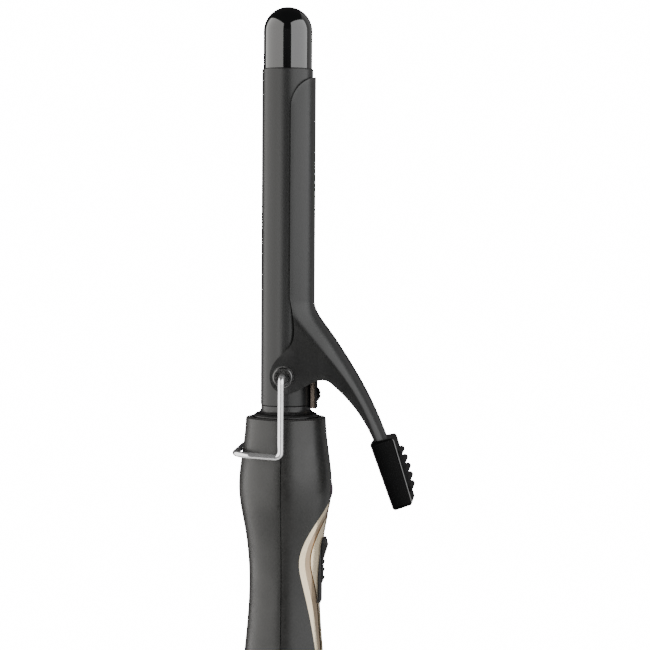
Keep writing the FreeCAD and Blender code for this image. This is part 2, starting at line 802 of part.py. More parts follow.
def make_heater():
    slot = 1.3
    round_bar = []
    for name, low, high in (("front", f"{slot}", "plug_radius + 1"), ("rear", "-plug_radius - 1", f"-{slot}")):
        bar = rod(name + "_spreader_bar", "plug_radius", "heater_top - heater_bottom", "z", 0, 0, "heater_bottom")
        side = box(name + "_spreader_side", low, high, "-plug_radius - 1", "plug_radius + 1",
                   "heater_bottom - 1", "heater_top + 1")
        half = doc.addObject("Part::Common", name + "_spreader_half")
        half.Base = bar
        half.Tool = side
        round_bar.append(half)
    channel = rod("sensor_channel", 1.1, 14, "z", 3.4, 0, "heater_bottom - 1")
    minus("heat_spreader_front", round_bar[0], channel)
    round_bar[1].Label = "heat_spreader_rear"
    box("ceramic_heater", -0.9, 0.9, -5.0, 5.0, "heater_bottom - 3", "heater_top - 2")
    films = [box(f"heater_film{side}", 0.9 if side > 0 else -1.3, 1.3 if side > 0 else -0.9, -6.5, 6.5,
                 "heater_bottom", "heater_top") for side in (-1, 1)]
    group("heater_films", *films)
    rod("temperature_sensor", 1.0, 6, "z", 3.4, 0, "heater_bottom + 4")


def make_leads():
    bottom, fold, arrive = d.heater_bottom - 3, d.rim - 12, d.board_top + 14
    front, side_run = d.board_front + 0.8, d.board_half_width - 1.0
    pieces = [bent_wire([(0, side * 2.6, bottom), (0, side * 2.6, fold), (front, side * side_run, arrive),
                         (front, side * side_run, d.board_top - 4)], (9.0, 9.0), d.lead_radius)
              for side in (-1, 1)]
    feature("heater_leads", Part.Compound(pieces))
    deep, shallow, near = 3.4, 2.8, 0.55
    back, side_run = d.board_back - 0.5, d.board_half_width - 3.0
    pieces = [bent_wire([(deep, side * near, d.heater_bottom + 4), (deep, side * near, d.heater_bottom - 6),
                         (shallow, side * near, d.heater_bottom - 16), (shallow, side * near, fold),
                         (back, side * side_run, arrive), (back, side * side_run, d.board_top - 3)],
                        (20.0, 20.0, 9.0, 9.0), 0.4) for side in (-1, 1)]
    feature("sensor_leads", Part.Compound(pieces))
    fuse = Part.makeCylinder(1.9, 10.0, V(0, 2.6, d.pivot + 12))
    feature("thermal_fuse", fuse.cut(Part.makeCylinder(d.lead_radius, 12.0, V(0, 2.6, d.pivot + 11))))


# ---- pivot ----

def make_studs():
    for label, turn in (("pivot_stud_left", 0), ("pivot_stud_right", 180)):
        stud = turned(label, [
            ("stud_bore", "stud_end"),
            ("stud_radius", "stud_end"),
            ("stud_radius", "head_face"),
            ("stud_head_radius", "head_face"),
            ("stud_head_radius", "head_face + stud_head_height - 0.3"),
            ("stud_head_radius - 0.3", "head_face + stud_head_height"),
            ("stud_recess_radius", "head_face + stud_head_height"),
            ("stud_recess_radius - 0.3", "head_face + stud_head_height - stud_recess_depth"),
            ("stud_bore", "head_face + stud_head_height - stud_recess_depth")], "XY_Plane")
        stud.Placement = FreeCAD.Placement(V(0, 0, 0), FreeCAD.Rotation(UP, turn))
        stud.setExpression("Placement.Base.z", formula("pivot"))
    washers = []
    for side in (-1, 1):
        start = "washer_face" if side > 0 else "-head_face"
        disc = rod(f"washer_disc{side}", "washer_radius", "washer_thickness", "y", 0, start, "pivot")
        hole = rod(f"washer_hole{side}", "ear_hole", "washer_thickness * 3", "y", 0,
                   start + " - washer_thickness", "pivot")
        washers.append(minus(f"washer{side}", disc, hole))
    group("pivot_washers", *washers)


# ---- clamp: everything here is drawn from the pivot ----

def lever_back(height):
    """How far out the lever's back is at a height above the pivot, and its slope from upright there."""
    slope = radians(d.lever_slope)
    bend, bow = d.lever_bend, d.lever_bow
    if height >= d.lever_start:
        return d.clamp_outer, 0.0
    drop = d.lever_start - height
    if drop <= bend * sin(slope):
        angle = drop / bend
        return d.clamp_outer + bend - sqrt(bend ** 2 - drop ** 2), angle
    centre_x = d.clamp_outer + bend * (1 - cos(slope)) - bow * cos(slope)
    centre_z = d.lever_start - bend * sin(slope) - bow * sin(slope)
    reach = sqrt(bow ** 2 - (height - centre_z) ** 2)
    return centre_x + reach, (height - centre_z) / bow


def blend(start, end, share):
    share = min(max(share, 0.0), 1.0)
    return start + (end - start) * share * share * (3 - 2 * share)


def lever_section(height, inset):
    """A level U-shaped cut through the lever, as a closed wire."""
    back, slope = lever_back(height)
    share = (d.lever_start - height) / (d.lever_start + d.lever_drop)
    back -= inset / cos(slope)
    half = blend(d.clamp_outer, d.lever_half_width, 1.6 * share - 0.55) - inset
    depth = blend(d.clamp_outer, d.lever_back_depth, 1.5 * share) - inset
    middle = back - depth
    wide = d.clamp_outer - inset
    rear = -1.6 * d.ear_reach
    steps = 8
    arch = [V(middle + depth * sin(pi * step / steps), -half * cos(pi * step / steps), height)
            for step in range(steps + 1)]
    curve = Part.BSplineCurve()
    curve.interpolate(arch, InitialTangent=V(1, 0, 0), FinalTangent=V(-1, 0, 0))
    left, right = V(rear, -wide, height), V(rear, wide, height)
    return Part.Wire([Part.LineSegment(left, arch[0]).toShape(), curve.toShape(),
                      Part.LineSegment(arch[-1], right).toShape(), Part.LineSegment(right, left).toShape()])


def clamp_form(inset, top):
    """The clamp's outer form (no inset) or its hollow (inset by the sheet)."""
    end = -d.lever_drop
    count = 9
    wires = []
    for number in range(count):
        share = number / (count - 1)
        wires.append(lever_section(d.lever_start + (end - d.lever_start) * share ** 1.3, inset))
    blade = Part.Face(wires[0]).extrude(V(0, 0, top - d.lever_start))
    return blade.fuse(Part.makeLoft(wires, True, False))


def clamp_outline(top):
    """Side view of the clamp: rounded blade corner, ears about the pivot and the lever's lower edge."""
    corner, edge, ear = d.blade_corner, d.blade_edge, d.ear_reach
    back = lever_back(-d.lever_drop)[0]
    bend_low = (edge, top - corner)
    blade_arc = Part.Arc(V(edge + corner, 0, top), V(edge + corner * (1 - cos(pi / 4)), 0,
                         top - corner * (1 - sin(pi / 4))), V(*(edge, 0, top - corner))).toShape()
    ear_edge = smooth_curve([
        (edge, d.lever_start + 0.6), (edge + 1.6, 19.5), (edge + 0.8, 12.4), (-2.4, 6.4), (-ear, 0.5),
        (-ear + 1.6, -4.4), (1.2, -6.3), (10.2, -2.4), (14.6, -1.1), (18.4, -2.9)])
    low_edge = (back - d.lever_back_depth - 1.0, -d.lever_drop)
    lever_edge = Part.Arc(V(18.4, 0, -2.9), V(26.1, 0, -10.8), V(low_edge[0], 0, low_edge[1])).toShape()
    far = back + 20
    rest = polygon_edges([low_edge, (far, -d.lever_drop), (far, top), (edge + corner, top)])
    return [blade_arc, line(bend_low, (edge, d.lever_start + 0.6)), ear_edge, lever_edge] + rest


def make_clamp():
    top = d.barrel_top - d.clamp_setback - d.pivot
    sheet = clamp_form(0.0, top).cut(clamp_form(d.clamp_sheet, top))
    keep = prism_y(clamp_outline(top), 2 * d.clamp_outer)
    hole = Part.makeCylinder(d.ear_hole, 4 * d.clamp_outer, V(0, -2 * d.clamp_outer, 0), V(0, 1, 0))
    plate = sheet.common(keep).cut(hole)
    feature("clamp_plate", plate, d.pivot)
    return plate


def thumb_point(along, out):
    """A spot on the thumb rest: along its length and out from its inner face."""
    slope = radians(d.thumb_slope)
    x = d.thumb_out + along * sin(slope) + out * cos(slope)
    return x, -d.thumb_down - along * cos(slope) + out * sin(slope)


def thumb_block():
    """The thumb rest's whole form, with the pad still part of it."""
    length, pad = d.thumb_length, d.thumb_pad
    outline = [thumb_point(0, 0), thumb_point(d.thumb_top_cut, d.thumb_depth_top + pad),
               thumb_point(length, d.thumb_depth_end + pad), thumb_point(length, 0)]
    block = prism_y(polygon_edges(outline + outline[:1]), d.thumb_half_width)
    corners = [edge for edge in block.Edges if edge.BoundBox.YLength > d.thumb_half_width]
    block = block.makeFillet(d.thumb_corner, corners)
    sides = [edge for edge in block.Edges if edge.BoundBox.YLength < 0.01]
    return block.makeFillet(d.thumb_edge, sides)


def make_thumb_rest(plate):
    length, deep, shallow = d.thumb_length, d.thumb_depth_top, d.thumb_depth_end
    block = thumb_block()
    over = [thumb_point(-5, deep), thumb_point(-5, deep + 20), thumb_point(length + 5, shallow + 20),
            thumb_point(length + 5, shallow)]
    split = prism_y(polygon_edges(over + over[:1]), 2 * d.thumb_half_width)
    feature("thumb_rest", block.cut(split).cut(plate), d.pivot)
    cover = block.common(split)
    inset, count = 1.0, 5
    for number in range(count):
        along = d.thumb_rib_start + number * d.thumb_rib_pitch
        rise = d.thumb_rib_rise + d.thumb_rib_bow * sin(pi * number / (count - 1))
        x, z = thumb_point(along, deep + d.thumb_pad + rise + (shallow - deep) * along / length)
        rib = Part.makeCylinder(d.thumb_rib_radius, 2 * (d.thumb_half_width - inset),
                                V(x, inset - d.thumb_half_width, z), V(0, 1, 0))
        cover = cover.fuse(rib.common(split))
    feature("thumb_pad", cover, d.pivot)


def make_spring():
    """Leaf spring: screwed to the barrel, folded back down to push the lever outwards."""
    foot = d.spring_face + d.spring_sheet / 2
    start = d.barrel_bottom - 1.0 - d.pivot
    tip = lever_back(-4.5)[0] - d.clamp_sheet - 1.2
    crown = 9.0
    points = [(foot, start), (foot, crown), (tip - 9.0, crown), (tip - 0.8, -2.5), (tip - 0.6, -6.5)]
    strip = bent_strip(points, (3.0, 3.0, 3.0), d.spring_sheet, d.spring_half_width)
    hole = Part.makeCylinder(d.spring_screw_radius + 0.2, 6.0,
                             V(foot - 3, 0, d.spring_screw_height - d.pivot), V(1, 0, 0))
    feature("clamp_spring", strip.cut(hole), d.pivot)
    plate = box("spring_plate_blank", "plate_face", "spring_face", "-spring_half_width - 0.6",
                "spring_half_width + 0.6", "barrel_bottom - 0.8", "barrel_bottom + 9.1")
    hole = rod("spring_plate_hole", "spring_screw_radius + 0.2", 10, "x", "plate_face - 4", 0,
               "spring_screw_height")
    minus("spring_plate", plate, hole)
    make_spring_screw()


def make_spring_screw():
    """Round-headed screw with a crossed recess, through the spring into the carrier."""
    head, rise, end = d.spring_screw_head, d.spring_screw_rise, 5.5
    axis = V(1, 0, 0)
    dome_radius = (head ** 2 + rise ** 2) / (2 * rise) + 0.4
    top = Part.makeCylinder(head, rise, V(d.screw_face, 0, 0), axis)
    top = top.common(Part.makeSphere(dome_radius, V(d.screw_face + rise - dome_radius, 0, 0)))
    shank = Part.makeCylinder(d.spring_screw_radius, d.screw_face - end, V(end, 0, 0), axis)
    screw = top.fuse(shank)
    for wide, tall in ((1.5, 0.35), (0.35, 1.5)):
        slot = Part.makeBox(rise, 2 * wide, 2 * tall, V(d.screw_face + rise / 2, -wide, -tall))
        screw = screw.cut(slot)
    feature("spring_screw", screw, d.spring_screw_height)


def make_stand():
    """Bent wire: two pins in the studs, two legs down the sides, one bar round the back of the handle."""
    wide, drop, foot = d.stand_half_width, d.stand_drop, d.stand_foot
    pin = d.stud_end + 0.4
    high = -drop + d.stand_rise
    points = [(0, pin, 0), (0, wide, 0), (0, wide, -drop), (-foot, wide, high), (-foot, -wide, high),
              (0, -wide, -drop), (0, -wide, 0), (0, -pin, 0)]
    radii = (d.stand_bend, d.stand_bend, d.stand_corner, d.stand_corner, d.stand_bend, d.stand_bend)
    feature("wire_stand", bent_wire(points, radii, d.wire_radius), d.pivot)


# ---- tail: swivelling cord gland ----

def make_swivel():
    turned("tail_bush", [
        ("gland_journal + running_clearance", "tail"),
        ("bush_radius", "tail"),
        ("bush_radius", "bush_top - 0.4"),
        ("bush_flange", "bush_top - 0.4"),
        ("bush_flange", "clip_bottom"),
        ("gland_journal + running_clearance", "clip_bottom")])
    turned("swivel_gland", [
        ("cord_bore", 0),
        ("gland_radius - 1.6", 0),
        ("gland_radius", "tail - 0.3"),
        ("gland_journal", "tail - 0.3"),
        ("gland_journal", "clip_bottom + 1.3"),
        ("gland_stem", "clip_bottom + 1.3"),
        ("gland_stem", "stem_end"),
        ("gland_stem - 1.6", "stem_end"),
        ("gland_stem - 1.6", "tail + 8"),
        ("cord_bore", "tail + 8")])
    turned("gland_clip", rectangle("gland_journal", "gland_journal + 2", "clip_bottom + 0.1", "clip_bottom + 1.0"))
    rings, brushes = [], []
    for number in range(2):
        low = f"clip_bottom + 4 + {5.0 * number}"
        ring = rod(f"slip_ring_blank{number}", "slip_ring_radius", "slip_ring_height", "z", 0, 0, low)
        hole = rod(f"slip_ring_hole{number}", "gland_stem", 8, "z", 0, 0, low + " - 2")
        rings.append(minus(f"slip_ring{number}", ring, hole))
        brushes.append(make_brush(d.clip_bottom + 4 + 5.0 * number))
    group("slip_rings", *rings)
    feature("brush_contacts", Part.Compound(brushes))
    block = Part.makeBox(3.0, 9.0, 10.0, V(-d.contact_back, -4.5, d.clip_bottom + 3.2))
    feature("contact_block", block)
    pieces = []
    start = 1.5 - d.contact_back
    for side in (-1, 1):
        out = side * (d.board_half_width - 2.0)
        points = [(start, side * 3.0, d.clip_bottom + 13.2), (start, side * 3.0, d.clip_bottom + 20),
                  (-6.0, out, d.lower_screw), (d.board_back - 1.0, out, d.board_bottom - 4),
                  (d.board_back - 0.6, out, d.board_bottom + 2)]
        pieces.append(bent_wire(points, (6.0, 9.0, 5.0), d.lead_radius))
    feature("supply_leads", Part.Compound(pieces))


def make_brush(low):
    """A sprung contact from the block to just short of its ring."""
    face = d.slip_ring_radius + 0.15
    points = [(-8.0, low + 0.3), (-face - 1.6, low + 0.3), (-face - 0.15, low + 1.1), (-face - 0.15, low + 2.1)]
    return bent_strip(points, (0.5, 0.5), 0.3, 1.6)


def check_document():
    for item in doc.Objects:
        if any(word in ("Invalid", "Error") for word in item.State):
            raise ValueError(f"{item.Label} failed: {item.State}")


def export_nodes():
    os.makedirs("parts", exist_ok=True)
    for label in NODES:
        found = doc.getObjectsByLabel(label)
        if len(found) != 1:
            raise ValueError(f"{label}: {len(found)} objects")
        shape = found[0].Shape
        if shape.isNull() or not shape.isValid() or not shape.Solids:
            raise ValueError(f"{label} has no valid shape")
        shape.exportStep(f"parts/{label}.step")
        print(f"{label:22} {len(shape.Solids)} solids {shape.Volume:10.1f} mm3")


NODES = [
    "barrel_tube", "cool_tip", "upper_collar", "shoulder_ring", "barrel_carrier", "heat_spreader_front",
    "heat_spreader_rear", "ceramic_heater", "heater_films", "temperature_sensor", "heater_leads", "sensor_leads",
    "thermal_fuse", "pivot_stud_left", "pivot_stud_right", "pivot_washers", "clamp_plate", "thumb_rest",
    "thumb_pad", "clamp_spring", "spring_plate", "spring_screw", "wire_stand", "handle_shell_front",
    "handle_shell_rear", "gold_trim", "trim_inlay", "pilot_lens", "pilot_led", "switch_bezel", "switch_slider",
    "switch_actuator", "switch_body", "control_board", "film_capacitor", "triac", "dropper_resistor",
    "board_screws", "handle_screws", "tail_bush", "swivel_gland", "gland_clip", "slip_rings", "brush_contacts",
    "contact_block", "supply_leads",
]

make_barrel()
make_tip()
make_collars()
make_carrier()
make_heater()
make_leads()
make_studs()
make_thumb_rest(make_clamp())
make_spring()
make_stand()
make_shells()
make_trim()
make_lamp()
make_switch()
make_board()
make_handle_screws()
make_swivel()
doc.recompute()
check_document()
export_nodes()
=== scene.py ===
import json
from math import cos, radians, sin, tan

import bpy
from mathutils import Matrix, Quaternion, Vector


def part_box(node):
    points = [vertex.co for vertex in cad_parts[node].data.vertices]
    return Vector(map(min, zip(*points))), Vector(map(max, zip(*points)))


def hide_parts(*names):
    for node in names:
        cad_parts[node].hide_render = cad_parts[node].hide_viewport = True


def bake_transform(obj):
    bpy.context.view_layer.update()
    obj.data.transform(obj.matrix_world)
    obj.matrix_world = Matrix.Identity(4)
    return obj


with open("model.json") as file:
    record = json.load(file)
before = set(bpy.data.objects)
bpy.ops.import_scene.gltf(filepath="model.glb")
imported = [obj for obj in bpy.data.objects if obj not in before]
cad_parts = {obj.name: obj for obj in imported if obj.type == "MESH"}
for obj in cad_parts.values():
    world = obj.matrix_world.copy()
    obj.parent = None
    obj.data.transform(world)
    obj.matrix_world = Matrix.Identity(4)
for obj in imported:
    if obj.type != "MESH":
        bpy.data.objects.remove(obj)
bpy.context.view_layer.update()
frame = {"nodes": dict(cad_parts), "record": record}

NODES = frame["nodes"]
SLOT_OF = {entry["node"]: entry["material_slot"] for entry in frame["record"]["subparts"]}

MM = 0.001

# Clamp spring: its sheet, and where the strip's corners lie within the CAD spring's box.
SPRING_SHEET = 0.5 * MM
SPRING_BEND = 2.9 * MM
SPRING_EDGE = 0.08 * MM
CROWN_SETBACK = 8.4 * MM
TIP_SETBACK = 0.2 * MM
TIP_BEND_RISE = 9.9 * MM
TIP_END_RISE = 5.9 * MM
SPRING_STEP = 0.6 * MM

# Studio, in metres; the glow lights the object, the backdrop shows to the camera only.
PANEL_DISTANCE = 0.75
PANEL_CENTRE = 0.17
GLOW = 0.03
BACKDROP = 16.0
FLOOR_RADIUS = 0.24
FLOOR_GAP = 0.5 * MM


# ---- material building blocks ----

class Look:
    """A Principled material with short calls for the nodes that give it detail."""

    def __init__(self, name, color, rough, metal=0.0, coat=0.0, coat_rough=0.05, specular=0.5):
        self.material = bpy.data.materials.new(name)
        self.material.use_nodes = True
        self.tree = self.material.node_tree
        self.shader = self.tree.nodes["Principled BSDF"]
        self.color, self.rough = color, rough
        self.place = self.add("ShaderNodeTexCoord").outputs["Object"]
        settings = {"Metallic": metal, "Coat Weight": coat, "Coat Roughness": coat_rough,
                    "Specular IOR Level": specular, "Roughness": rough}
        for socket, value in settings.items():
            self.shader.inputs[socket].default_value = value
        self.shader.inputs["Base Color"].default_value = (*color, 1.0)
        self.shade = None
        self.bump = None

    def add(self, kind, **settings):
        node = self.tree.nodes.new(kind)
        for key, value in settings.items():
            setattr(node, key, value)
        return node

    def link(self, source, target):
        self.tree.links.new(source, target)

    def stretched(self, stretch):
        """Object space squeezed per axis, so that a texture runs along the others."""
        mapping = self.add("ShaderNodeMapping")
        mapping.inputs["Scale"].default_value = stretch
        self.link(self.place, mapping.inputs["Vector"])
        return mapping.outputs["Vector"]

    def noise(self, size, detail=3.0, stretch=None):
        """Noise whose features are about that size, in metres."""
        node = self.add("ShaderNodeTexNoise")
        node.inputs["Scale"].default_value = 1.0 / size
        node.inputs["Detail"].default_value = detail
        self.link(self.stretched(stretch) if stretch else self.place, node.inputs["Vector"])
        return node.outputs["Fac"]

    def speckle(self, size):
        node = self.add("ShaderNodeTexVoronoi")
        node.inputs["Scale"].default_value = 1.0 / size
        self.link(self.place, node.inputs["Vector"])
        return node.outputs["Distance"]

    def span(self, value, low, high, start=0.0, end=1.0):
        """Maps value between start and end to low and high, clamped."""
        node = self.add("ShaderNodeMapRange")
        settings = {"From Min": start, "From Max": end, "To Min": low, "To Max": high}
        for socket, number in settings.items():
            node.inputs[socket].default_value = number
        self.link(value, node.inputs["Value"])
        return node.outputs["Result"]

    def tint(self, mask, color):
        """Lays a second colour over the first where the mask is high."""
        mix = self.add("ShaderNodeMix", data_type="RGBA")
        if self.shade is None:
            mix.inputs["A"].default_value = (*self.color, 1.0)
        else:
            self.link(self.shade, mix.inputs["A"])
        mix.inputs["B"].default_value = (*color, 1.0)
        self.link(mask, mix.inputs["Factor"])
        self.shade = mix.outputs["Result"]
        self.link(self.shade, self.shader.inputs["Base Color"])
        return self

    def uneven(self, size, amount, stretch=None):
        """Roughness that wanders by amount either side of its value."""
        low, high = self.rough - amount, self.rough + amount
        value = self.span(self.noise(size, 4.0, stretch), low, high, 0.3, 0.7)
        self.link(value, self.shader.inputs["Roughness"])
        return self

    def relief(self, height, depth):
        """Bump of that depth in metres, added to what is there."""
        node = self.add("ShaderNodeBump")
        node.inputs["Strength"].default_value = 1.0
        node.inputs["Distance"].default_value = depth
        self.link(height, node.inputs["Height"])
        if self.bump is not None:
            self.link(self.bump, node.inputs["Normal"])
        self.bump = node.outputs["Normal"]
        self.link(self.bump, self.shader.inputs["Normal"])
        return self

    def edges(self):
        """A mask that is high along sharp outer edges, where the materials lay a painted
        highlight.
        """
        point = self.add("ShaderNodeNewGeometry").outputs["Pointiness"]
        return self.span(point, 0.0, 1.0, start=0.52, end=0.62)


def mottled(look, size, share, amount=1.35):
    """A slow, soft change of brightness."""
    color = tuple(min(channel * amount, 1.0) for channel in look.color)
    return look.tint(look.span(look.noise(size), 0.0, share, 0.35, 0.7), color)


# ---- materials, one per finish ----

def barrel_coating():
    """Matte ceramic coating: fine specks, faint lengthwise rubbing where hair is wound, and a
    painted highlight along its edges.
    """
    look = Look("barrel_coating", (0.008, 0.008, 0.0082), 0.33, specular=0.42)
    mottled(look, 0.03, 0.5, 1.15)
    look.tint(look.span(look.speckle(0.00035), 0.35, 0.0, 0.0, 0.32), (0.02, 0.02, 0.0205))
    # Paler along sharp edges: a painted highlight.
    look.tint(look.span(look.edges(), 0.0, 0.3), (0.06, 0.06, 0.061))
    look.uneven(0.004, 0.035, (1.0, 1.0, 0.06))
    return look.relief(look.noise(0.00025, 2.0), 0.000006)


def gloss_black(name, color=(0.003, 0.003, 0.0032), rough=0.08):
    """Moulded glossy plastic: almost clean, with fine handling marks and a painted highlight
    along its edges.
    """
    look = Look(name, color, rough, coat=0.9, coat_rough=0.04)
    mottled(look, 0.02, 0.6, 1.5)
    # Paler along sharp edges: a painted highlight.
    look.tint(look.span(look.edges(), 0.0, 0.3), (0.05, 0.05, 0.052))
    look.uneven(0.0015, 0.03, (1.0, 1.0, 0.15))
    return look.relief(look.noise(0.004, 2.0), 0.000012)


def satin_black(name, color=(0.009, 0.009, 0.0093), rough=0.34):
    """Moulded or coated black: a fine grain, and a painted highlight that makes it a little
    paler along its edges.
    """
    look = Look(name, color, rough)
    mottled(look, 0.006, 0.6)
    # Paler along sharp edges: a painted highlight.
    look.tint(look.span(look.edges(), 0.0, 0.3), (0.05, 0.05, 0.051))
    look.uneven(0.0012, 0.05)
    return look.relief(look.noise(0.0003, 3.0), 0.000008)


def soft_touch():
    """Soft-touch paint: a velvety, slightly warm black with a fine grain, and a painted
    highlight along its edges.
    """
    look = Look("handle_soft_touch", (0.0095, 0.0093, 0.0088), 0.36)
    look.shader.inputs["Sheen Weight"].default_value = 0.04
    look.shader.inputs["Sheen Roughness"].default_value = 0.4
    mottled(look, 0.025, 0.7, 1.22)
    look.tint(look.span(look.noise(0.00018, 2.0), 0.0, 0.3, 0.5, 0.75), (0.026, 0.0255, 0.0245))
    # Paler along sharp edges: a painted highlight.
    look.tint(look.span(look.edges(), 0.0, 0.3), (0.06, 0.059, 0.057))
    look.uneven(0.006, 0.05)
    return look.relief(look.noise(0.00022, 3.0), 0.000014)


def champagne(name, color, glint):
    """Lacquered metallic paint: fine flakes painted as glints, softly polished, with a painted
    highlight along its edges.
    """
    look = Look(name, color, 0.19, metal=0.88, coat=0.5, coat_rough=0.06)
    mottled(look, 0.012, 0.4, 1.08)
    # Paler flecks in the glint colour: the paint's flakes, with their sparkle painted as glints.
    look.tint(look.span(look.speckle(0.00022), 0.3, 0.0, 0.0, 0.3), glint)
    # Brighter along sharp edges in the glint colour: a painted highlight.
    look.tint(look.span(look.edges(), 0.0, 0.5), glint)
    look.uneven(0.0008, 0.05, (1.0, 1.0, 0.2))
    return look.relief(look.noise(0.0002, 2.0), 0.000003)


def polished_wire():
    """Bright chrome plate with faint drawing marks and dull patches."""
    look = Look("wire_chrome", (0.88, 0.88, 0.89), 0.1, metal=0.86)
    mottled(look, 0.004, 0.5, 1.12)
    look.tint(look.span(look.noise(0.0012, 4.0), 0.0, 0.5, 0.6, 0.75), (0.55, 0.55, 0.56))
    look.uneven(0.0006, 0.05)
    return look.relief(look.noise(0.0008, 3.0), 0.000006)


def plain_metal(name, color, rough, grain=(1.0, 1.0, 0.08)):
    """Turned or rolled metal with a directional grain, a duller film in places, and a painted
    highlight along its edges.
    """
    look = Look(name, color, rough, metal=1.0)
    dark = tuple(channel * 0.55 for channel in color)
    look.tint(look.span(look.noise(0.0015, 4.0), 0.0, 0.7, 0.45, 0.75), dark)
    # Paler along sharp edges: a painted highlight.
    edge_highlight = tuple(min(channel * 1.4, 1.0) for channel in color)
    look.tint(look.span(look.edges(), 0.0, 0.5), edge_highlight)
    look.uneven(0.0007, 0.07, grain)
    return look.relief(look.noise(0.0003, 3.0, grain), 0.000005)


def moulded(name, color, rough=0.55):
    """Inner plastic, ceramic or film: flow marks and a dull grain."""
    look = Look(name, color, rough)
    mottled(look, 0.005, 0.5, 1.2)
    look.uneven(0.0015, 0.06)
    return look.relief(look.noise(0.0005, 3.0), 0.00001)


def sleeved_lead():
    """Glass-fibre sleeve: a fine braid along the lead."""
    look = Look("lead_insulation", (0.62, 0.6, 0.55), 0.7)
    weave = look.add("ShaderNodeTexWave", wave_type="BANDS", bands_direction="DIAGONAL")
    weave.inputs["Scale"].default_value = 900.0
    look.link(look.place, weave.inputs["Vector"])
    look.tint(look.span(weave.outputs["Fac"], 0.0, 0.5), (0.4, 0.38, 0.34))
    look.uneven(0.001, 0.08)
    return look.relief(weave.outputs["Fac"], 0.00005)


def circuit_board():
    """Green solder mask with copper tracks showing through as lighter lanes."""
    look = Look("board_green", (0.015, 0.12, 0.045), 0.3)
    lanes = look.add("ShaderNodeTexBrick", offset=0.37, squash=0.6)
    lanes.inputs["Scale"].default_value = 260.0
    lanes.inputs["Mortar Size"].default_value = 0.03
    look.link(look.stretched((1.0, 0.35, 1.0)), lanes.inputs["Vector"])
    look.tint(look.span(lanes.outputs["Fac"], 0.0, 0.7), (0.06, 0.24, 0.1))
    look.uneven(0.001, 0.06)
    return look.relief(lanes.outputs["Fac"], 0.00003)


def tinted_lens(name, color, transmission):
    """Tinted clear plastic: glossy, with faint flow lines inside."""
    look = Look(name, color, 0.08, coat=0.5)
    look.shader.inputs["Transmission Weight"].default_value = transmission
    look.shader.inputs["IOR"].default_value = 1.49
    mottled(look, 0.002, 0.5, 1.5)
    look.uneven(0.001, 0.03)
    return look.relief(look.noise(0.0015, 2.0), 0.000005)


def make_looks():
    return {
        "barrel_coating": barrel_coating(),
        "tip_gloss": gloss_black("tip_gloss"),
        "collar_black": satin_black("collar_black"),
        "inner_plastic": moulded("inner_plastic", (0.24, 0.23, 0.21)),
        "spreader_alu": plain_metal("spreader_alu", (0.72, 0.72, 0.73), 0.35),
        "heater_ceramic": moulded("heater_ceramic", (0.78, 0.76, 0.72), 0.75),
        "film": moulded("film", (0.5, 0.28, 0.07), 0.3),
        "sensor_glass": tinted_lens("sensor_glass", (0.7, 0.6, 0.4), 0.5),
        "lead_insulation": sleeved_lead(),
        "fuse_metal": plain_metal("fuse_metal", (0.68, 0.68, 0.68), 0.3),
        "stud_metal": plain_metal("stud_metal", (0.1, 0.1, 0.1), 0.3, (1.0, 1.0, 1.0)),
        "washer_steel": plain_metal("washer_steel", (0.16, 0.16, 0.16), 0.35, (1.0, 1.0, 1.0)),
        "thumb_black": gloss_black("thumb_black", (0.001, 0.001, 0.0011), 0.12),
        "spring_steel": plain_metal("spring_steel", (0.23, 0.19, 0.16), 0.3),
        "plate_black": satin_black("plate_black", (0.003, 0.003, 0.003), 0.26),
        "screw_black": satin_black("screw_black", (0.004, 0.004, 0.004), 0.22),
        "wire_chrome": polished_wire(),
        "handle_soft_touch": soft_touch(),
        "trim_gold": champagne("trim_gold", (1.0, 0.82, 0.56), (1.0, 0.92, 0.76)),
        # The trim's groove in a darker bronze: painted shade where the groove lies in its own
        # shadow.
        "trim_bronze": champagne("trim_bronze", (0.42, 0.31, 0.2), (0.6, 0.48, 0.34)),
        "lens_tint": tinted_lens("lens_tint", (0.05, 0.025, 0.05), 0.35),
        "led_clear": tinted_lens("led_clear", (0.8, 0.25, 0.2), 0.6),
        "switch_black": satin_black("switch_black", (0.006, 0.006, 0.0064), 0.3),
        "board_green": circuit_board(),
        "component_yellow": moulded("component_yellow", (0.62, 0.46, 0.06), 0.3),
        "component_black": moulded("component_black", (0.02, 0.02, 0.02), 0.45),
        "component_tan": moulded("component_tan", (0.55, 0.38, 0.2), 0.35),
        "screw_steel": plain_metal("screw_steel", (0.5, 0.5, 0.5), 0.3, (1.0, 1.0, 1.0)),
        "gland_black": satin_black("gland_black", (0.015, 0.015, 0.015), 0.45),
        "contact_brass": plain_metal("contact_brass", (0.75, 0.55, 0.25), 0.28, (1.0, 1.0, 0.3)),
    }


def paint_nodes(looks):
    for name, node in NODES.items():
        for place in node.material_slots:
            place.material = looks[SLOT_OF[name]].material


# ---- clamp spring: a strip that bends between the barrel and the lever ----

def rounded_path(corners, radius, steps=8):
    """Points along straight runs through the corners, with each bend drawn as an arc."""
    path = [corners[0]]
    for before, corner, after in zip(corners, corners[1:], corners[2:]):
        back, ahead = (before - corner).normalized(), (after - corner).normalized()
        half = back.angle(ahead) / 2
        centre = corner + (back + ahead).normalized() * (radius / sin(half))
        entry = corner + back * (radius / tan(half))
        leave = corner + ahead * (radius / tan(half))
        first, last = (entry - centre).normalized(), (leave - centre).normalized()
        for step in range(steps + 1):
            path.append(centre + first.slerp(last, step / steps) * radius)
    return path + [corners[-1]]


def even_steps(path, step):
    """The same path with extra points, so that no run is longer than a step."""
    points = [path[0]]
    for start, end in zip(path, path[1:]):
        count = max(1, round((end - start).length / step))
        points += [start.lerp(end, number / count) for number in range(1, count + 1)]
    return points


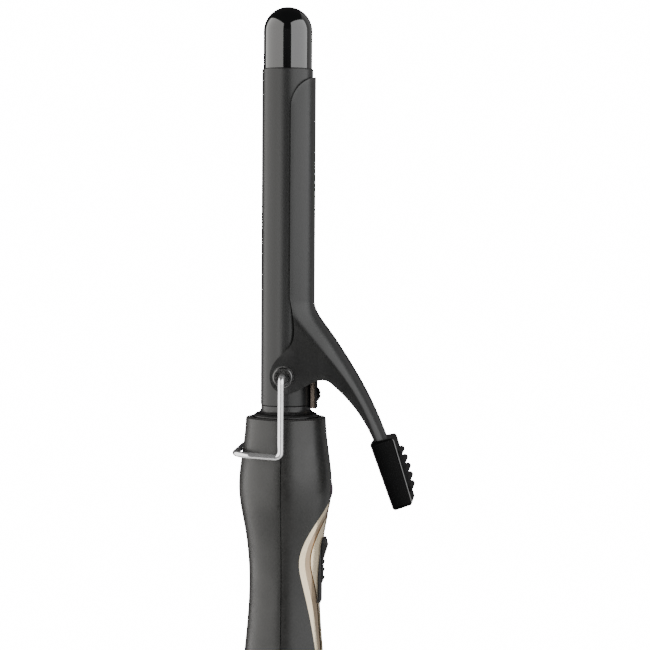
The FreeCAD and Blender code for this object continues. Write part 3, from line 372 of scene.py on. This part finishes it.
def make_spring(look):
    """One bent strip in place of the CAD spring."""
    low, high = (Vector(corner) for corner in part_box("clamp_spring"))
    foot = low.x + SPRING_SHEET / 2
    crown = high.z - SPRING_SHEET / 2
    tip = high.x - SPRING_SHEET / 2
    end = tip - TIP_SETBACK
    profile = ((foot, low.z), (foot, crown), (tip - CROWN_SETBACK, crown),
               (end, low.z + TIP_BEND_RISE), (end, low.z + TIP_END_RISE))
    corners = [Vector((x, 0, z)) for x, z in profile]
    path = even_steps(rounded_path(corners, SPRING_BEND), SPRING_STEP)
    half_width = (high.y - low.y) / 2
    verts, faces = [], []
    ring = 4
    for number, point in enumerate(path):
        ahead = path[min(number + 1, len(path) - 1)] - path[max(number - 1, 0)]
        out = Vector((-ahead.z, 0, ahead.x)).normalized() * SPRING_SHEET / 2
        for side, lift in ((1, 1), (-1, 1), (-1, -1), (1, -1)):
            verts.append(point + out * lift + Vector((0, side * half_width, 0)))
        if number:
            base, top = (number - 1) * ring, number * ring
            faces += [(base + k, base + (k + 1) % ring, top + (k + 1) % ring, top + k)
                      for k in range(ring)]
    last = (len(path) - 1) * ring
    faces += [(3, 2, 1, 0), (last, last + 1, last + 2, last + 3)]
    mesh = bpy.data.meshes.new("leaf_spring")
    mesh.from_pydata([tuple(v) for v in verts], [], faces)
    spring = bpy.data.objects.new("leaf_spring", mesh)
    bpy.context.scene.collection.objects.link(spring)
    bevel = spring.modifiers.new("edges", "BEVEL")
    bevel.width = SPRING_EDGE
    bevel.segments = 2
    bevel.limit_method = "ANGLE"
    mesh.materials.append(look.material)
    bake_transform(spring)
    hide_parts("clamp_spring")


# ---- studio ----

def point_at(thing, place, target, roll=0.0):
    thing.location = place
    thing.rotation_mode = "QUATERNION"
    aim = (Vector(target) - Vector(place)).to_track_quat("-Z", "Y")
    thing.rotation_quaternion = aim @ Quaternion((0, 0, 1), roll)


def panel(name, azimuth, width, height, power, lift=0.12, tint=(1.0, 1.0, 1.0)):
    """A soft box facing the upright axis; azimuth 0 is the front and 90 the right side."""
    data = bpy.data.lights.new(name, "AREA")
    data.shape = "RECTANGLE"
    data.size, data.size_y = width, height
    data.energy = power
    data.color = tint
    light = bpy.data.objects.new(name, data)
    bpy.context.scene.collection.objects.link(light)
    angle = radians(azimuth)
    across, along = PANEL_DISTANCE * sin(angle), -PANEL_DISTANCE * cos(angle)
    middle = PANEL_CENTRE + lift
    point_at(light, (across, along, middle), (0, 0, middle))


def make_studio():
    """Soft boxes to the left, the right and the back right, in a dim, even glow."""
    panel("panel_left", -69, 1.98, 1.6, 26.0, tint=(1.0, 0.985, 0.96))
    panel("panel_right", 64, 1.4, 0.97, 13.0, lift=0.43)
    panel("panel_right_low", 64, 1.4, 0.62, 4.2, lift=-0.365)
    panel("panel_edge", 129, 0.7, 1.6, 1.3)
    world = bpy.data.worlds.new("studio")
    bpy.context.scene.world = world
    world.use_nodes = True
    tree = world.node_tree
    glow = tree.nodes["Background"]
    glow.inputs["Color"].default_value = (GLOW, GLOW, GLOW, 1.0)
    backdrop = tree.nodes.new("ShaderNodeBackground")
    backdrop.inputs["Color"].default_value = (1.0, 1.0, 1.0, 1.0)
    backdrop.inputs["Strength"].default_value = BACKDROP
    rays = tree.nodes.new("ShaderNodeLightPath")
    mix = tree.nodes.new("ShaderNodeMixShader")
    tree.links.new(rays.outputs["Is Camera Ray"], mix.inputs["Fac"])
    tree.links.new(glow.outputs[0], mix.inputs[1])
    tree.links.new(backdrop.outputs[0], mix.inputs[2])
    tree.links.new(mix.outputs[0], tree.nodes["World Output"].inputs["Surface"])


def make_floor():
    look = Look("floor_pale", (0.82, 0.82, 0.81), 0.7)
    mottled(look, 0.1, 0.4, 1.05)
    look.uneven(0.01, 0.05)
    look.relief(look.noise(0.002, 3.0), 0.00002)
    bpy.ops.mesh.primitive_circle_add(vertices=128, radius=FLOOR_RADIUS, fill_type="NGON",
                                      location=(0, 0, -FLOOR_GAP))
    floor = bpy.context.object
    floor.name = "floor"
    floor.data.materials.append(look.material)


def make_camera():
    """Stands a little to the right of the front and looks slightly down."""
    data = bpy.data.cameras.new("camera")
    data.sensor_width = 36.0
    data.lens = 116.0
    camera = bpy.data.objects.new("camera", data)
    bpy.context.scene.collection.objects.link(camera)
    bpy.context.scene.camera = camera
    azimuth, distance, height = radians(6.3), 0.782, 0.229
    place = Vector((distance * sin(azimuth), -distance * cos(azimuth), height))
    yaw, pitch, roll = radians(1.057), radians(3.476), radians(0.39)
    heading = azimuth - yaw
    ahead = Vector((-sin(heading) * cos(pitch), cos(heading) * cos(pitch), -sin(pitch)))
    point_at(camera, place, place + ahead, roll)


looks = make_looks()
paint_nodes(looks)
make_spring(looks["plate_black"])
make_floor()
make_studio()
make_camera()

bpy.context.view_layer.update()
